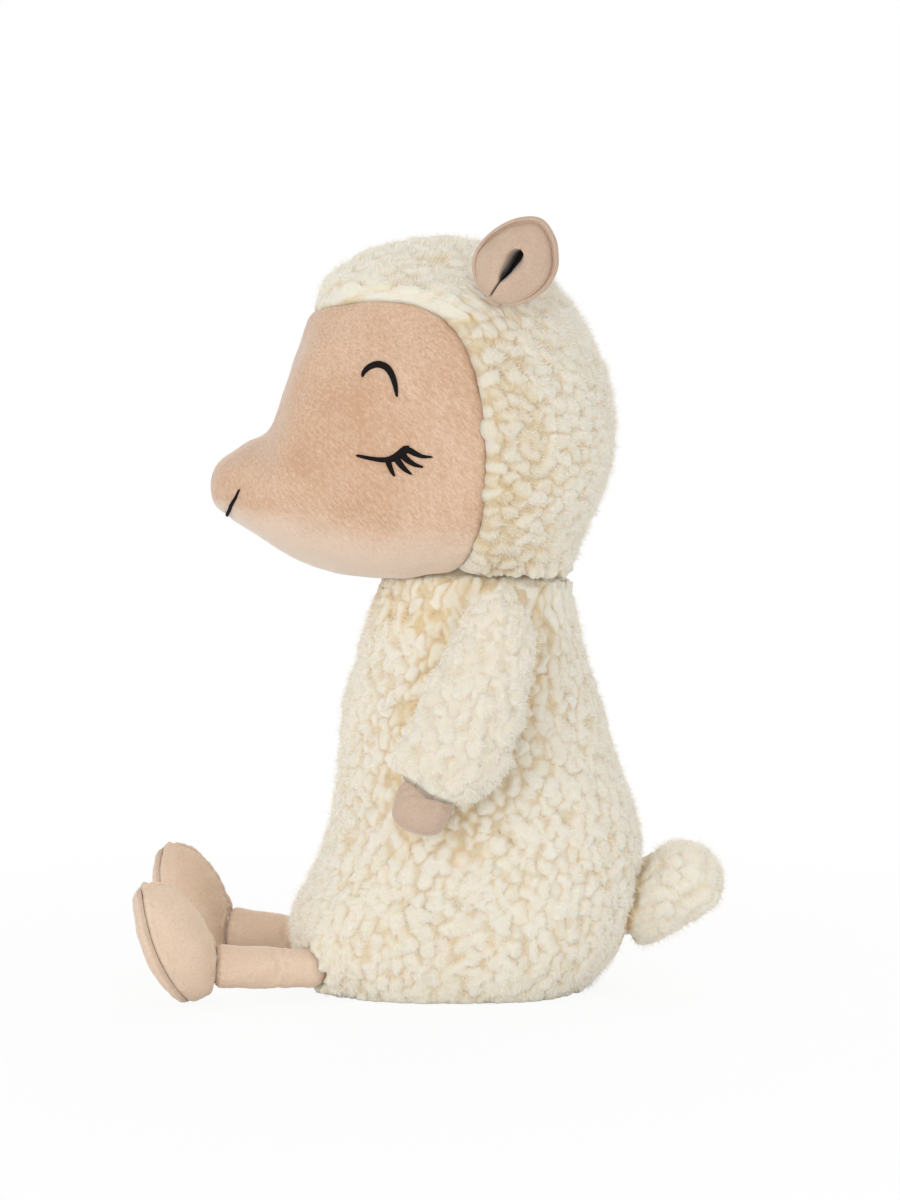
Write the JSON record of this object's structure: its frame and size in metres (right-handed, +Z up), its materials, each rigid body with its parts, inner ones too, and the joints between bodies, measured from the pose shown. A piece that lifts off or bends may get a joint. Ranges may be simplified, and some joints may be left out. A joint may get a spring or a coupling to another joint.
{
  "type": "plush sheep",
  "caption": "Seated stuffed sheep with curly fleece hood and body, smooth velour face, ears, paws and feet, a round tail, and soft jointed head and limbs.",
  "frame": {"origin": "on the surface it sits on, under the middle of its bounding box", "axes": "+Z up, the face looks along -Y, +X towards the sheep's own left"},
  "size_m": [0.149, 0.231, 0.3001],
  "materials": {
    "fleece": "matte",
    "face_plush": "matte",
    "velour": "matte",
    "filling": "matte",
    "pellet_pouch": "matte"
  },
  "bodies": {
    "body": {"body_fleece": "fleece", "body_base": "fleece", "body_filling": "filling", "pellet_pouch": "pellet_pouch"},
    "neck": {"neck_filling": "filling"},
    "head": {"face_panel": "face_plush", "hood_fleece": "fleece", "head_filling": "filling"},
    "arm_left": {"arm_left_sleeve": "fleece", "arm_left_paw": "velour", "arm_left_filling": "filling"},
    "arm_right": {"arm_right_sleeve": "fleece", "arm_right_paw": "velour", "arm_right_filling": "filling"},
    "leg_left": {"leg_left_tube": "velour", "foot_left_outer_panel": "velour", "foot_left_inner_panel": "velour", "foot_left_sole": "velour", "leg_left_filling": "filling"},
    "leg_right": {"leg_right_tube": "velour", "foot_right_outer_panel": "velour", "foot_right_inner_panel": "velour", "foot_right_sole": "velour", "leg_right_filling": "filling"},
    "ear_left": {"ear_left_shell": "velour", "ear_left_lining": "velour"},
    "ear_right": {"ear_right_shell": "velour", "ear_right_lining": "velour"},
    "tail": {"tail_fleece": "fleece", "tail_filling": "filling"}
  },
  "joints": [
    {"name": "head_turn", "type": "hinge", "parent": "body", "child": "neck", "pos_m": [0, 0.01392, 0.1512], "axis": [0, 0, 1], "range_deg": [-30, 30], "stiffness_Nm_per_rad": 0.6},
    {"name": "head_nod", "type": "hinge", "parent": "neck", "child": "head", "pos_m": [0, 0.01392, 0.1512], "axis": [1, 0, 0], "range_deg": [-10, 10], "stiffness_Nm_per_rad": 1.5},
    {"name": "arm_left_swing", "type": "hinge", "parent": "body", "child": "arm_left", "pos_m": [0.036, 0.02342, 0.146], "axis": [-0.9863, 0, -0.165], "range_deg": [-60, 60]},
    {"name": "arm_right_swing", "type": "hinge", "parent": "body", "child": "arm_right", "pos_m": [-0.036, 0.02342, 0.146], "axis": [-0.9863, 0, 0.165], "range_deg": [-60, 60]},
    {"name": "leg_left_swing", "type": "hinge", "parent": "body", "child": "leg_left", "pos_m": [0.033, -0.04858, 0.012], "axis": [-0.9903, -0.1392, 0], "range_deg": [-45, 32]},
    {"name": "leg_right_swing", "type": "hinge", "parent": "body", "child": "leg_right", "pos_m": [-0.033, -0.04858, 0.012], "axis": [-0.9903, 0.1392, 0], "range_deg": [-45, 32]},
    {"name": "ear_left_fold", "type": "hinge", "parent": "head", "child": "ear_left", "pos_m": [0.045, 0.02192, 0.2685], "axis": [0.1293, 0.8321, -0.5393], "range_deg": [-15, 20], "stiffness_Nm_per_rad": 0.02},
    {"name": "ear_right_fold", "type": "hinge", "parent": "head", "child": "ear_right", "pos_m": [-0.045, 0.02192, 0.2685], "axis": [0.1293, -0.8321, 0.5393], "range_deg": [-15, 20], "stiffness_Nm_per_rad": 0.02},
    {"name": "tail_wag", "type": "hinge", "parent": "body", "child": "tail", "pos_m": [0, 0.07592, 0.0265], "axis": [0, -0.5446, 0.8387], "range_deg": [-15, 15], "stiffness_Nm_per_rad": 0.03}
  ]
}
